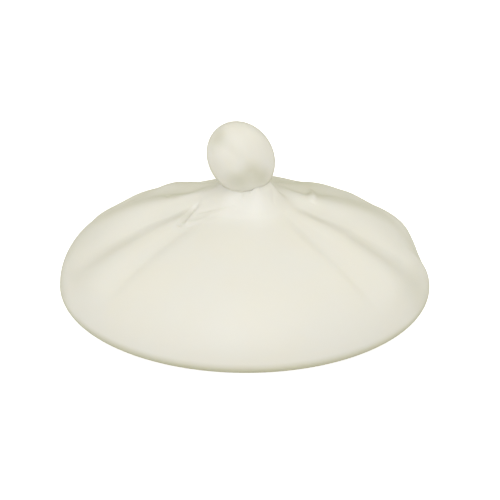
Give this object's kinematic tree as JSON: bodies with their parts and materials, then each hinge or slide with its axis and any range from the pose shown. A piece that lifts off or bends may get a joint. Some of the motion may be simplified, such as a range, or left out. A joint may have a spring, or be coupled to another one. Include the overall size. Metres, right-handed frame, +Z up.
{
  "type": "dappen dish",
  "caption": "Small round ceramic cup for nail liquids, under a domed, softly gathered lid with an egg-shaped ball knob; the lid lifts off.",
  "frame": {"origin": "centre of the dish's foot, on the table", "axes": "+Z up along the lid's lift, -Y the smooth front of the lid, -X the side that the ball knob leans to"},
  "size_m": [0.056, 0.056, 0.0341],
  "materials": {
    "dish_glaze": "gloss",
    "lid_glaze": "gloss",
    "knob_glaze": "gloss",
    "seat_washer_rubber": "satin",
    "stud_steel": "satin",
    "cushion_rubber": "matte",
    "washer_steel": "satin",
    "nut_steel": "polished"
  },
  "bodies": {
    "dish": {"dish": "dish_glaze"},
    "lid": {"lid_dome": "lid_glaze", "knob_ball": "knob_glaze", "knob_seat_washer": "seat_washer_rubber", "knob_stud": "stud_steel", "cushion_washer": "cushion_rubber", "flat_washer": "washer_steel", "cap_nut": "nut_steel"}
  },
  "joints": [
    {"name": "lid_lift", "type": "slide", "parent": "dish", "child": "lid", "axis": [0, 0, 1], "range_m": [0, 0.04]}
  ]
}
